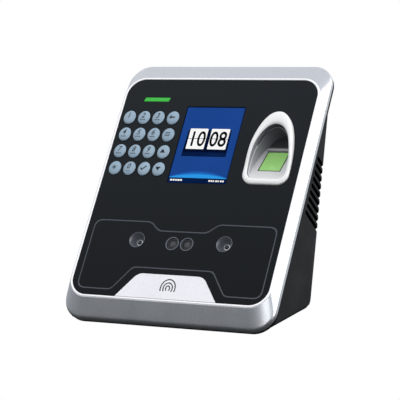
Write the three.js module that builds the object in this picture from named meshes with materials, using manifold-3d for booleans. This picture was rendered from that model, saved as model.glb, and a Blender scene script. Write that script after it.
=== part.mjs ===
// Wall terminal with a fingerprint reader, a keypad, a screen and a face camera.
//
// Millimetres. +X is to the right, +Y runs into the wall and +Z is up. The origin is the middle of the
// wall plate's back face. The front face leans back, so the pieces on it are built in a face frame of
// their own: x to the right, y up the slope and z out of the face, with z = 0 on the glossy panel.

import * as THREE from 'three';
import { mergeVertices } from 'three/addons/utils/BufferGeometryUtils.js';
import Module from 'manifold-3d';

const wasm = await Module();
wasm.setup();

// ---------------------------------------------------------------- driving dimensions

const GAP = 0.3;
const LEAN = THREE.MathUtils.degToRad(18.9);
const FACE_CENTRE = { y: -56.7, z: -10 };

const PANEL = { halfWidth: 75.75, halfHeight: 86.3, radius: 13, thickness: 2.5 };
const LIP = { width: 1.4, proud: 0.6 };
const RIM = { halfWidth: 81.1, halfHeight: 102, radius: 16, front: -6.3, back: -9.8 };
const LEDGE = { width: 1.5, thickness: 2 };
const FLANGE = { inset: 0.3, thickness: 2.4 };

const KEY = {
  pitchX: 11.87,
  pitchY: 13.89,
  firstX: -68.1,
  firstY: 54.6,
  width: 9.8,
  height: 11,
  travel: 0.8,
};
const KEY_ROWS = [
  ['key_1', 'key_2', 'key_3', 'key_escape'],
  ['key_4', 'key_5', 'key_6', 'key_menu'],
  ['key_7', 'key_8', 'key_9', 'key_up'],
  ['key_star', 'key_0', 'key_enter', 'key_down'],
];

const SCREEN = { x: 0, y: 33.6, width: 45.2, height: 60.4 };
const STATUS_LIGHT = { x: -49.35, y: 69.95, width: 20.3, height: 3.1, slant: 0.9 };

const ARCH_X = 51.7;
const ARCH_OUTER = {
  halfWidth: 17.5,
  bottom: 3.8,
  corner: 8,
  side: 17.9,
  shoulder: 34,
  crown: 12.5,
  top: 59.6,
};
const ARCH_INNER = {
  halfWidth: 14.6,
  bottom: 7.9,
  corner: 6,
  side: 16,
  shoulder: 32,
  crown: 10,
  top: 49.8,
};
const HOOD = { height: 3, from: 14, to: 36 };

const TRAY = { tilt: THREE.MathUtils.degToRad(23), y: 25.55, z: -7.3, deepest: -14, floor: 2.5 };
const SENSOR_WINDOW = { width: 16.8, height: 20.9, thickness: 2.2 };

const LAMP = { x: 34, y: -42.7, radius: 6.2, depth: 5.4 };
const CAMERA = { x: 5.65, y: -44.4, ringRadius: 5.05, lensRadius: 4.1 };

const ZONE = { halfWidth: 71, top: -28.4, bottom: -81.2, line: 0.9, depth: 0.35 };
const NOTCH_ABOVE = { outerHalf: 26.5, innerHalf: 18.8, y: -35.1 };
const NOTCH_BELOW = { outerHalf: 43.8, innerHalf: 31, y: -63.5 };
const BADGE = {
  topHalf: 25.3,
  bottomHalf: 39,
  top: -68.1,
  bottom: -86.3,
  proud: 0.3,
  round: [0.6, 0.6, 4.4, 4.4],
};

const HOUSING = {
  back: -2.4,
  top: 75.4,
  frontHalf: 77.5,
  backHalf: 73.4,
  wall: 2.3,
  edgeRadius: 5.5,
  heelRadius: 8,
  undersideSlope: Math.tan(THREE.MathUtils.degToRad(16.8)),
  undersideAtBack: -84.8,
};
const BAY = { halfWidth: 46, top: -28, bottom: -56, depth: 20, wall: 1.8 };
const VENT = {
  count: 9,
  pitch: 5.27,
  width: 3.2,
  dip: LEAN,
  firstY: -31.4,
  firstZ: -21.4,
  innerX: 70.8,
};

const PLATE = { halfWidth: 58, halfHeight: 65, radius: 6, thickness: 1.6 };
const PLATE_HOLES = { spacingX: 92, spacingZ: 100, radius: 2.3 };
const HOOK = { x: 38, z: 52, width: 12, reach: 6.6, rise: 4 };
const LOCK = { y: -13, tabZ: -61.5, tabLength: 17 };

const BOARD = { front: -27, back: -25.4, halfWidth: 62, bottom: -62, top: 34, notchX: 38, notchZ: -16 };
const CASE_SCREW = { x: 68, y: 88, seat: -18, headRadius: 2.9, shankRadius: 1.4, length: 12 };
const BOARD_SCREWS = [
  { x: -57, z: 29 },
  { x: 33, z: 29 },
  { x: -57, z: -57 },
  { x: 57, z: -57 },
];
const SOCKETS = { z: -42, back: -14, halfHeight: 5, jackHalfHeight: 6.8 };
const CONNECTORS = [
  { name: 'power_terminals', x: -38, halfWidth: 5.4, halfHeight: SOCKETS.halfHeight },
  { name: 'relay_terminals', x: -18, halfWidth: 12.9, halfHeight: SOCKETS.halfHeight },
  { name: 'reader_terminals', x: 6.5, halfWidth: 9.9, halfHeight: SOCKETS.halfHeight },
  { name: 'network_socket', x: 27, halfWidth: 8, halfHeight: SOCKETS.jackHalfHeight },
  { name: 'usb_socket', x: 40.5, halfWidth: 3.1, halfHeight: SOCKETS.jackHalfHeight },
];
const PROCESSOR = { x: -15, z: -40, half: 16, height: 3 };
const CELL = { x: 8, z: 12, radius: 11, capRadius: 10, height: 4.4 };
const RELAY = { x: -47, z: -4, halfWidth: 5, halfHeight: 10, depth: 15 };
const SPEAKER = { x: 62.9, y: -18.3, z: -16, radius: 13 };
const TAMPER = { x: -30, z: 14, radius: 1.2 };

// ---------------------------------------------------------------- finishes

const finish = (color, roughness, metalness) =>
  new THREE.MeshStandardMaterial({ color, roughness, metalness });
const FINISH = {
  silver: finish(0xc8ccd2, 0.35, 0.6),
  brightSilver: finish(0xe4e4e8, 0.3, 0.5),
  glossBlack: finish(0x23272b, 0.12, 0),
  satinBlack: finish(0x2a2e32, 0.45, 0),
  keyBlue: finish(0x96acc0, 0.3, 0),
  rubber: finish(0x6f7377, 0.8, 0),
  glass: finish(0x1c4286, 0.05, 0),
  green: finish(0x8ec072, 0.15, 0),
  lampGrey: finish(0x5b6066, 0.25, 0.4),
  lens: finish(0x15171a, 0.05, 0),
  circuit: finish(0x1f6b3a, 0.6, 0),
  steel: finish(0xb9bcc0, 0.35, 0.9),
  terminal: finish(0x2f8f4e, 0.5, 0),
  plastic: finish(0x1b1d20, 0.5, 0),
};

// ---------------------------------------------------------------- solids

function indexed(geometry) {
  const bare = geometry.clone();
  bare.deleteAttribute('normal');
  bare.deleteAttribute('uv');
  return mergeVertices(bare, 1e-4);
}

function facingOut(geometry) {
  const solid = indexed(geometry);
  const position = solid.attributes.position;
  const index = solid.index.array;
  const [a, b, c] = [new THREE.Vector3(), new THREE.Vector3(), new THREE.Vector3()];
  let volume = 0;
  for (let i = 0; i < index.length; i += 3) {
    a.fromBufferAttribute(position, index[i]);
    b.fromBufferAttribute(position, index[i + 1]);
    c.fromBufferAttribute(position, index[i + 2]);
    volume += a.dot(b.cross(c));
  }
  if (volume < 0) {
    for (let i = 0; i < index.length; i += 3) [index[i], index[i + 1]] = [index[i + 1], index[i]];
  }
  return solid;
}

function toManifold(geometry) {
  const solid = facingOut(geometry);
  const vertProperties = new Float32Array(solid.attributes.position.array);
  const triVerts = new Uint32Array(solid.index.array);
  return new wasm.Manifold(new wasm.Mesh({ numProp: 3, vertProperties, triVerts }));
}

function toGeometry(manifold) {
  const mesh = manifold.getMesh();
  const geometry = new THREE.BufferGeometry();
  geometry.setAttribute('position', new THREE.BufferAttribute(new Float32Array(mesh.vertProperties), 3));
  geometry.setIndex(new THREE.BufferAttribute(new Uint32Array(mesh.triVerts), 1));
  return geometry;
}

const cut = (body, ...tools) =>
  toGeometry(tools.reduce((rest, tool) => rest.subtract(toManifold(tool)), toManifold(body)));
const join = (...pieces) => toGeometry(pieces.map(toManifold).reduce((sum, piece) => sum.add(piece)));
const common = (a, b) => toGeometry(toManifold(a).intersect(toManifold(b)));

// ---------------------------------------------------------------- shapes

const point = (x, y) => new THREE.Vector2(x, y);

function roundedRect(halfWidth, halfHeight, radius, x = 0, y = 0) {
  const shape = new THREE.Shape();
  const quarter = Math.PI / 2;
  shape.absarc(x + halfWidth - radius, y + halfHeight - radius, radius, 0, quarter);
  shape.absarc(x - halfWidth + radius, y + halfHeight - radius, radius, quarter, 2 * quarter);
  shape.absarc(x - halfWidth + radius, y - halfHeight + radius, radius, 2 * quarter, 3 * quarter);
  shape.absarc(x + halfWidth - radius, y - halfHeight + radius, radius, 3 * quarter, 4 * quarter);
  return shape;
}

const ellipse = (x, y, radiusX, radiusY) =>
  new THREE.Shape().absellipse(x, y, radiusX, radiusY, 0, 2 * Math.PI);

// The corners of a polygon that runs anticlockwise, each side moved out by the same distance.
function grown(corners, distance) {
  const count = corners.length;
  return corners.map((corner, i) => {
    const before = corner.clone().sub(corners[(i + count - 1) % count]).normalize();
    const after = corners[(i + 1) % count].clone().sub(corner).normalize();
    const normals = [point(before.y, -before.x), point(after.y, -after.x)];
    const miter = normals[0].clone().add(normals[1]);
    return corner.clone().addScaledVector(miter, (2 * distance) / miter.lengthSq());
  });
}

// A polygon with its corners rounded off by short curves. Each starts this far from its corner, and one
// reach serves every corner unless there is a list of them.
function softened(corners, reach) {
  const count = corners.length;
  const shape = new THREE.Shape();
  corners.forEach((corner, i) => {
    const length = Array.isArray(reach) ? reach[i] : reach;
    const start = corners[(i + count - 1) % count].clone().sub(corner).setLength(length).add(corner);
    const end = corners[(i + 1) % count].clone().sub(corner).setLength(length).add(corner);
    if (i === 0) shape.moveTo(start.x, start.y);
    else shape.lineTo(start.x, start.y);
    shape.quadraticCurveTo(corner.x, corner.y, end.x, end.y);
  });
  shape.closePath();
  return shape;
}

function prism(shape, from, to, curveSegments = 6) {
  const options = { depth: to - from, bevelEnabled: false, curveSegments };
  return new THREE.ExtrudeGeometry(shape, options).translate(0, 0, from);
}

const block = (x0, x1, y0, y1, z0, z1) =>
  new THREE.BoxGeometry(x1 - x0, y1 - y0, z1 - z0).translate((x0 + x1) / 2, (y0 + y1) / 2, (z0 + z1) / 2);

// A turned piece about the z axis: its profile lists radius and height along the axis.
function turned(profile, segments = 20) {
  const points = profile.map(([radius, height]) => point(radius, height));
  return new THREE.LatheGeometry(points, segments).rotateX(Math.PI / 2);
}

const rod = (radius, from, to, segments = 10) =>
  turned([[0, from], [radius, from], [radius, to], [0, to]], segments);
const washer = (inner, outer, from, to, segments = 20) =>
  turned([[inner, from], [outer, from], [outer, to], [inner, to], [inner, from]], segments);

// Turns a round piece built along z so that it runs along the wall's y axis instead, with z becoming +Y.
const alongY = (geometry) => geometry.rotateX(-Math.PI / 2);

const axisX = new THREE.Vector3(1, 0, 0);
const axisY = new THREE.Vector3(0, 1, 0);
const axisZ = new THREE.Vector3(0, 0, 1);

// Stands a flat piece up against the wall: x stays, y becomes +Z and its thickness runs towards -Y.
const standing = new THREE.Matrix4().makeBasis(axisX, axisZ, axisY.clone().negate());

// Turns a side view, drawn in y and z, so that its thickness runs across the terminal along X.
const acrossX = new THREE.Matrix4().makeBasis(axisY, axisZ, axisX);

// A ring whose cross-section runs through loops with the same number of points.
function ringThrough(loops) {
  const count = loops[0].length;
  const geometry = new THREE.BufferGeometry().setFromPoints(loops.flat());
  const index = [];
  loops.forEach((_, l) => {
    const here = l * count;
    const there = ((l + 1) % loops.length) * count;
    for (let i = 0; i < count; i++) {
      const next = (i + 1) % count;
      index.push(here + i, here + next, there + i, here + next, there + next, there + i);
    }
  });
  return geometry.setIndex(index);
}

function roundedLoop(halfWidth, halfHeight, radius, z, segments = 7) {
  const loop = [];
  for (let corner = 0; corner < 4; corner++) {
    const sideX = corner === 0 || corner === 3 ? 1 : -1;
    const sideY = corner < 2 ? 1 : -1;
    for (let i = 0; i <= segments; i++) {
      const angle = (corner + i / segments) * (Math.PI / 2);
      const x = sideX * (halfWidth - radius) + radius * Math.cos(angle);
      const y = sideY * (halfHeight - radius) + radius * Math.sin(angle);
      loop.push(new THREE.Vector3(x, y, z));
    }
  }
  return loop;
}

// The finger recess's outline: a flat bottom with round corners, and sides that lean in to a round crown.
function archOutline(arch, margin = 0, segments = 12) {
  const cornerSegments = 4;
  const halfWidth = arch.halfWidth + margin;
  const bottom = arch.bottom - margin;
  const corner = Math.max(arch.corner + margin, 0.5);
  const right = [];
  for (let i = 0; i <= cornerSegments; i++) {
    const angle = (i / cornerSegments - 1) * (Math.PI / 2);
    const centre = point(halfWidth - corner, bottom + corner);
    right.push(centre.add(point(corner * Math.cos(angle), corner * Math.sin(angle))));
  }
  const side = new THREE.CubicBezierCurve(
    point(halfWidth, bottom + corner),
    point(arch.side + margin, arch.shoulder),
    point(arch.crown + margin, arch.top + margin),
    point(0, arch.top + margin),
  );
  for (let i = 1; i < segments; i++) right.push(side.getPoint(i / segments));
  const left = right.map((p) => point(-p.x, p.y)).reverse();
  return [...right, point(0, arch.top + margin), ...left].map((p) => p.add(point(ARCH_X, 0)));
}

const archPrism = (arch, margin, from, to) => prism(new THREE.Shape(archOutline(arch, margin)), from, to);

// ---------------------------------------------------------------- the scene graph

const terminal = new THREE.Group();
const face = new THREE.Group();
face.position.set(0, FACE_CENTRE.y, FACE_CENTRE.z);
face.rotation.x = Math.PI / 2 - LEAN;
terminal.add(face);

function add(group, name, geometry, material) {
  const mesh = new THREE.Mesh(facingOut(geometry), material);
  mesh.name = name;
  group.add(mesh);
  return mesh;
}

const mirrored = [['left', -1], ['right', 1]];

// ---------------------------------------------------------------- front bezel

function frontBezel() {
  const seat = -PANEL.thickness - GAP;
  const inner = { w: PANEL.halfWidth + GAP, h: PANEL.halfHeight + GAP, r: PANEL.radius + GAP };
  const lip = { w: inner.w + LIP.width, h: inner.h + LIP.width, r: inner.r + LIP.width };
  const ledge = { w: inner.w - LEDGE.width, h: inner.h - LEDGE.width, r: inner.r - LEDGE.width };
  const ledgeBack = seat - LEDGE.thickness;
  const { halfWidth, halfHeight, radius, front, back } = RIM;
  const ring = ringThrough([
    roundedLoop(inner.w, inner.h, inner.r, seat),
    roundedLoop(inner.w, inner.h, inner.r, LIP.proud - 0.25),
    roundedLoop(inner.w + 0.3, inner.h + 0.3, inner.r + 0.3, LIP.proud),
    roundedLoop(lip.w - 0.3, lip.h - 0.3, lip.r - 0.3, LIP.proud),
    roundedLoop(lip.w + 0.1, lip.h + 0.3, lip.r + 0.2, LIP.proud - 0.4),
    roundedLoop(halfWidth - 0.5, halfHeight - 0.9, radius - 0.4, front + 0.6),
    roundedLoop(halfWidth, halfHeight, radius, front - 0.3),
    roundedLoop(halfWidth, halfHeight, radius, back),
    roundedLoop(halfWidth - 2, halfHeight - 2, radius - 2, back),
    roundedLoop(halfWidth - 2, halfHeight - 2.4, radius - 2, front - 0.6),
    roundedLoop(lip.w - 0.6, lip.h - 0.4, lip.r - 0.6, ledgeBack),
    roundedLoop(ledge.w, ledge.h, ledge.r, ledgeBack),
    roundedLoop(ledge.w, ledge.h, ledge.r, seat),
  ]);
  const bosses = [];
  const bores = [];
  for (const x of [-CASE_SCREW.x, CASE_SCREW.x]) {
    for (const y of [-CASE_SCREW.y, CASE_SCREW.y]) {
      bosses.push(rod(4.2, back, seat - 1).translate(x, y, 0));
      const bore = rod(CASE_SCREW.shankRadius + GAP, back - 1, seat - LEDGE.thickness);
      bores.push(bore.translate(x, y, 0));
    }
  }
  return cut(join(ring, ...bosses), ...bores);
}

// ---------------------------------------------------------------- face panel

const badgeCorners = [
  point(-BADGE.bottomHalf, BADGE.bottom),
  point(BADGE.bottomHalf, BADGE.bottom),
  point(BADGE.topHalf, BADGE.top),
  point(-BADGE.topHalf, BADGE.top),
];

// The line engraved round the camera zone, with a notch above the cameras and one above the badge.
const zoneCorners = [
  point(-ZONE.halfWidth, ZONE.bottom),
  point(-NOTCH_BELOW.outerHalf, ZONE.bottom),
  point(-NOTCH_BELOW.innerHalf, NOTCH_BELOW.y),
  point(NOTCH_BELOW.innerHalf, NOTCH_BELOW.y),
  point(NOTCH_BELOW.outerHalf, ZONE.bottom),
  point(ZONE.halfWidth, ZONE.bottom),
  point(ZONE.halfWidth, ZONE.top),
  point(NOTCH_ABOVE.outerHalf, ZONE.top),
  point(NOTCH_ABOVE.innerHalf, NOTCH_ABOVE.y),
  point(-NOTCH_ABOVE.innerHalf, NOTCH_ABOVE.y),
  point(-NOTCH_ABOVE.outerHalf, ZONE.top),
  point(-ZONE.halfWidth, ZONE.top),
];

function keyCentre(row, column) {
  return { x: KEY.firstX + column * KEY.pitchX, y: KEY.firstY - row * KEY.pitchY };
}

function slantedBar(margin) {
  const { x, y, width, height, slant } = STATUS_LIGHT;
  const [halfWidth, halfHeight] = [width / 2, height / 2];
  const corners = [
    point(x - halfWidth - slant, y - halfHeight),
    point(x + halfWidth - slant, y - halfHeight),
    point(x + halfWidth, y + halfHeight),
    point(x - halfWidth, y + halfHeight),
  ];
  return softened(grown(corners, margin), 0.4);
}

function facePanel() {
  const outline = roundedRect(PANEL.halfWidth, PANEL.halfHeight, PANEL.radius);
  KEY_ROWS.forEach((names, row) => names.forEach((_, column) => {
    const centre = keyCentre(row, column);
    outline.holes.push(ellipse(centre.x, centre.y, KEY.width / 2 + GAP, KEY.height / 2 + GAP));
  }));
  outline.holes.push(roundedRect(SCREEN.width / 2 + 0.7, SCREEN.height / 2 + 0.7, 0.8, SCREEN.x, SCREEN.y));
  outline.holes.push(slantedBar(GAP));
  outline.holes.push(new THREE.Shape(archOutline(ARCH_OUTER, GAP)));
  for (const [, side] of mirrored) {
    outline.holes.push(ellipse(side * LAMP.x, LAMP.y, LAMP.radius + 0.1, LAMP.radius + 0.1));
    const ringHole = CAMERA.ringRadius + 0.25;
    outline.holes.push(ellipse(side * CAMERA.x, CAMERA.y, ringHole, ringHole));
  }
  const plate = prism(outline, -PANEL.thickness, 0);
  const badgeGrown = grown(badgeCorners, GAP);
  badgeGrown[0].lerp(badgeGrown[3], -0.3);
  badgeGrown[1].lerp(badgeGrown[2], -0.3);
  const badgeNotch = prism(softened(badgeGrown, BADGE.round), -PANEL.thickness - 1, 1, 3);
  const grooveOuter = prism(softened(grown(zoneCorners, ZONE.line / 2), 3.4), -ZONE.depth, 1, 3);
  const grooveInner = prism(softened(grown(zoneCorners, -ZONE.line / 2), 3.0), -ZONE.depth - 1, 2, 3);
  return cut(plate, badgeNotch, cut(grooveOuter, grooveInner));
}

function badgePlate() {
  return prism(softened(badgeCorners, BADGE.round), -PANEL.thickness, BADGE.proud, 3);
}

// ---------------------------------------------------------------- keypad, screen and status light

const KEY_STEM_END = -5.2;

function keyCap() {
  const half = KEY.width / 2;
  const under = -PANEL.thickness - GAP;
  const cap = turned([
    [0, KEY_STEM_END],
    [2.2, KEY_STEM_END],
    [2.2, under - 1],
    [half + 0.7, under - 1],
    [half + 0.7, under],
    [half, under],
    [half, 0.2],
    [half * 0.86, 1.0],
    [half * 0.5, 1.45],
    [0, 1.6],
  ], 14);
  return cap.scale(1, KEY.height / KEY.width, 1);
}

const KEYPAD = {
  x: KEY.firstX + 1.5 * KEY.pitchX,
  y: KEY.firstY - 1.5 * KEY.pitchY,
  halfWidth: 23.5,
  halfHeight: 28.5,
};

function keypadMat() {
  const domeTop = KEY_STEM_END - KEY.travel - 0.2;
  const sheetTop = domeTop - 1;
  const outline = roundedRect(KEYPAD.halfWidth, KEYPAD.halfHeight, 2, KEYPAD.x, KEYPAD.y);
  const sheet = prism(outline, sheetTop - 1, sheetTop, 2);
  const domes = [];
  KEY_ROWS.forEach((names, row) => names.forEach((_, column) => {
    const centre = keyCentre(row, column);
    const foot = sheetTop - 0.5;
    const dome = turned([[0, foot], [3.6, foot], [3.6, sheetTop], [2.3, domeTop], [0, domeTop]], 8);
    domes.push(dome.translate(centre.x, centre.y, 0));
  }));
  return join(sheet, ...domes);
}

function keypadBoard() {
  const top = KEY_STEM_END - KEY.travel - 2.5;
  const outline = roundedRect(KEYPAD.halfWidth, KEYPAD.halfHeight + 1.2, 1, KEYPAD.x, KEYPAD.y);
  return prism(outline, top - 1.2, top, 2);
}

function displayModule() {
  const panelBack = -PANEL.thickness - 0.5;
  const { x, y, width, height } = SCREEN;
  return prism(roundedRect(width / 2 + 3.4, height / 2 + 4.8, 1, x, y), panelBack - 3.4, panelBack, 2);
}

function addFaceControls() {
  KEY_ROWS.forEach((names, row) => names.forEach((name, column) => {
    const centre = keyCentre(row, column);
    add(face, name, keyCap(), FINISH.keyBlue).position.set(centre.x, centre.y, 0);
  }));
  add(face, 'keypad_mat', keypadMat(), FINISH.rubber);
  add(face, 'keypad_board', keypadBoard(), FINISH.circuit);
  const pane = roundedRect(SCREEN.width / 2 + 0.4, SCREEN.height / 2 + 0.4, 0.5, SCREEN.x, SCREEN.y);
  add(face, 'display_window', prism(pane, -PANEL.thickness, 0, 2), FINISH.glass);
  add(face, 'display_module', displayModule(), FINISH.steel);
  add(face, 'status_light', prism(slantedBar(0), -5.5, 0.05, 2), FINISH.green);
}

// ---------------------------------------------------------------- fingerprint reader

function sensorBezel() {
  const outer = archOutline(ARCH_OUTER);
  const inner = archOutline(ARCH_INNER);
  const hood = (y) => HOOD.height * THREE.MathUtils.smoothstep(y, HOOD.from, HOOD.to);
  const loop = (share, height, rise) => outer.map((p, i) => {
    const q = p.clone().lerp(inner[i], share);
    return new THREE.Vector3(q.x, q.y, height + rise * hood(q.y));
  });
  return ringThrough([
    loop(0, -PANEL.thickness, 0),
    loop(0, 0.4, 0.9),
    loop(0.14, 1.0, 1),
    loop(0.45, 1.5, 1),
    loop(0.78, 1.4, 1),
    loop(0.95, 1.0, 0.9),
    loop(1, 0.5, 0.7),
    loop(1, -PANEL.thickness, 0),
  ]);
}

// Moves a piece from the tilted window's own frame, z = 0 on the tray, into the face frame.
const onTray = (geometry) => geometry.rotateX(-TRAY.tilt).translate(ARCH_X, TRAY.y, TRAY.z);

// Everything above the tray's surface, or above that surface lowered by some thickness.
function aboveTray(drop) {
  const slope = Math.tan(TRAY.tilt);
  const heightAt = (y) => TRAY.z - (y - TRAY.y) * slope - drop;
  const deepest = TRAY.deepest - drop;
  const bendY = TRAY.y + (heightAt(TRAY.y) - deepest) / slope;
  const side = new THREE.Shape([
    point(-5, heightAt(-5)),
    point(bendY, deepest),
    point(70, deepest),
    point(70, 20),
    point(-5, 20),
  ]);
  return prism(side, ARCH_X - 30, ARCH_X + 30).applyMatrix4(acrossX);
}

function fingerTray() {
  const under = -PANEL.thickness - GAP;
  const rim = archPrism(ARCH_INNER, -GAP, -20, -0.6);
  const flange = archPrism(ARCH_OUTER, 1.6, under - 1.5, under);
  const body = common(join(rim, flange, archPrism(ARCH_INNER, 1.2, -20, under)), aboveTray(TRAY.floor));
  const pocket = common(archPrism(ARCH_INNER, -1.2, -25, 5), aboveTray(0));
  const opening = block(-1, 1, -1, 1, -6, 3);
  opening.scale(SENSOR_WINDOW.width / 2 + GAP, SENSOR_WINDOW.height / 2 + GAP, 1);
  const ledgeY = SENSOR_WINDOW.height / 2 + GAP + 0.1;
  const ledge = onTray(block(-9.3, 9.3, ledgeY, ledgeY + 1.5, -1.5, 1.2));
  return join(cut(body, pocket, onTray(opening)), ledge);
}

function sensorWindow() {
  const outline = roundedRect(SENSOR_WINDOW.width / 2, SENSOR_WINDOW.height / 2, 0.5);
  return onTray(prism(outline, -SENSOR_WINDOW.thickness, 0, 2));
}

function sensorModule() {
  const top = -TRAY.floor - 0.4;
  const body = prism(roundedRect(11, 13, 1.5), top - 17, top, 2);
  const pedestal = block(-7.5, 7.5, -9.5, 9.5, top - 1, top + 0.3);
  const connector = block(-5, 5, -3, 3, top - 20, top - 16);
  return onTray(join(body, pedestal, connector));
}

// ---------------------------------------------------------------- cameras and infrared lamps

const CAMERA_BOARD = { top: -9.5, thickness: 1.2 };

function lampReflector() {
  const { radius, depth } = LAMP;
  return turned([
    [1.7, -depth - 1.2],
    [radius - 0.2, -depth - 1.2],
    [radius - 0.2, 0],
    [radius - 0.5, 0],
    [radius * 0.78, -depth * 0.36],
    [radius * 0.52, -depth * 0.74],
    [1.7, -depth],
    [1.7, -depth - 1.2],
  ], 20);
}

function infraredLamp() {
  const base = CAMERA_BOARD.top + GAP;
  return turned([[0, base], [2.4, base], [2.4, -6.9], [1.4, -6.9], [1.4, -5], [1.0, -4.4], [0, -4.2]], 16);
}

function cameraBarrel() {
  const base = CAMERA_BOARD.top + GAP;
  const { lensRadius } = CAMERA;
  return turned([
    [0, base],
    [5.2, base],
    [5.2, -3.2],
    [lensRadius, -3.2],
    [lensRadius, -1.2],
    [lensRadius * 0.7, -0.75],
    [0, -0.5],
  ], 24);
}

function addSensorZone() {
  for (const [label, side] of mirrored) {
    const reflector = add(face, `lamp_reflector_${label}`, lampReflector(), FINISH.lampGrey);
    const lamp = add(face, `infrared_lamp_${label}`, infraredLamp(), FINISH.lens);
    const camera = add(face, `camera_${label}`, cameraBarrel(), FINISH.lens);
    const ring = washer(CAMERA.lensRadius + GAP, CAMERA.ringRadius, -PANEL.thickness, 0.1);
    const lensRing = add(face, `lens_ring_${label}`, ring, FINISH.lampGrey);
    reflector.position.set(side * LAMP.x, LAMP.y, 0);
    lamp.position.set(side * LAMP.x, LAMP.y, 0);
    camera.position.set(side * CAMERA.x, CAMERA.y, 0);
    lensRing.position.set(side * CAMERA.x, CAMERA.y, 0);
  }
  const { top, thickness } = CAMERA_BOARD;
  const board = prism(roundedRect(41, 9, 1.5, 0, CAMERA.y + 0.8), top - thickness, top, 2);
  add(face, 'camera_board', board, FINISH.circuit);
}

// ---------------------------------------------------------------- rear housing

// Where a point of the face frame's side view lies in the wall's side view.
function sideView(y, z) {
  const up = y * Math.sin(LEAN) - z * Math.cos(LEAN);
  const out = y * Math.cos(LEAN) + z * Math.sin(LEAN);
  return point(FACE_CENTRE.y + up, FACE_CENTRE.z + out);
}

// The wedge between the leaning front and the wall, shrunk on all sides but the front by a margin.
function wedge(margin, frontZ, detail) {
  const back = HOUSING.back - margin;
  const top = HOUSING.top - margin;
  const underside = (y) => HOUSING.undersideAtBack + margin + (y - HOUSING.back) * HOUSING.undersideSlope;
  const radius = Math.max(HOUSING.edgeRadius - margin, 1);
  const round = radius + 1.5;
  const frontLow = sideView(-97, frontZ);
  const frontHigh = sideView(0, frontZ);
  const lean = (frontHigh.x - frontLow.x) / (frontHigh.y - frontLow.y);
  const toe = point(frontLow.x, underside(frontLow.x));
  toe.x = frontLow.x + (toe.y - frontLow.y) * lean;
  toe.y = underside(toe.x);
  const crest = point(frontLow.x + (top - frontLow.y) * lean, top);
  const heel = HOUSING.heelRadius - margin;
  const slope = Math.atan(HOUSING.undersideSlope);
  const heelReach = heel * Math.tan((Math.PI / 2 - slope) / 2);
  const heelCorner = point(back, underside(back));
  const shape = new THREE.Shape();
  shape.moveTo(toe.x, toe.y);
  shape.lineTo(heelCorner.x - heelReach * Math.cos(slope), heelCorner.y - heelReach * Math.sin(slope));
  shape.absarc(back - heel, heelCorner.y + heelReach, heel, slope - Math.PI / 2, 0);
  shape.absarc(back - round, top - round, round, 0, Math.PI / 2);
  shape.lineTo(crest.x, crest.y);
  const half = HOUSING.frontHalf - margin;
  const solid = new THREE.ExtrudeGeometry(shape, {
    depth: 2 * (half - radius),
    bevelEnabled: true,
    bevelThickness: radius,
    bevelSize: radius,
    bevelOffset: -radius,
    bevelSegments: detail,
    curveSegments: detail + 2,
  });
  solid.translate(0, 0, -(half - radius));
  return drafted(solid.applyMatrix4(acrossX));
}

// The sides draw in evenly from the front of the wedge to its back.
function drafted(geometry) {
  const position = geometry.attributes.position;
  const start = sideView(-97, RIM.back).x;
  const draft = (HOUSING.frontHalf - HOUSING.backHalf) / HOUSING.frontHalf / (HOUSING.back - start);
  for (let i = 0; i < position.count; i++) {
    position.setX(i, position.getX(i) * (1 - draft * Math.max(position.getY(i) - start, 0)));
  }
  return geometry;
}

// Moves a piece from the face frame into the wall's frame.
const onFace = (geometry) =>
  geometry.rotateX(Math.PI / 2 - LEAN).translate(0, FACE_CENTRE.y, FACE_CENTRE.z);

function ventCutters() {
  const stepY = VENT.pitch * Math.sin(LEAN);
  const stepZ = VENT.pitch * Math.cos(LEAN);
  const half = VENT.width / 2;
  const cutters = [];
  for (let i = 0; i < VENT.count; i++) {
    const y = VENT.firstY + i * stepY;
    const z = VENT.firstZ + i * stepZ;
    const length = (HOUSING.back + 2 - y) / Math.cos(VENT.dip);
    const slot = new THREE.Shape();
    slot.absarc(0, 0, half, Math.PI / 2, 1.5 * Math.PI);
    slot.lineTo(length, -half);
    slot.lineTo(length, half);
    const cutter = prism(slot, VENT.innerX, RIM.halfWidth, 2).rotateZ(-VENT.dip);
    cutter.applyMatrix4(acrossX).translate(0, y, z);
    cutters.push(cutter, cutter.clone().scale(-1, 1, 1));
  }
  return cutters;
}

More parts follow.
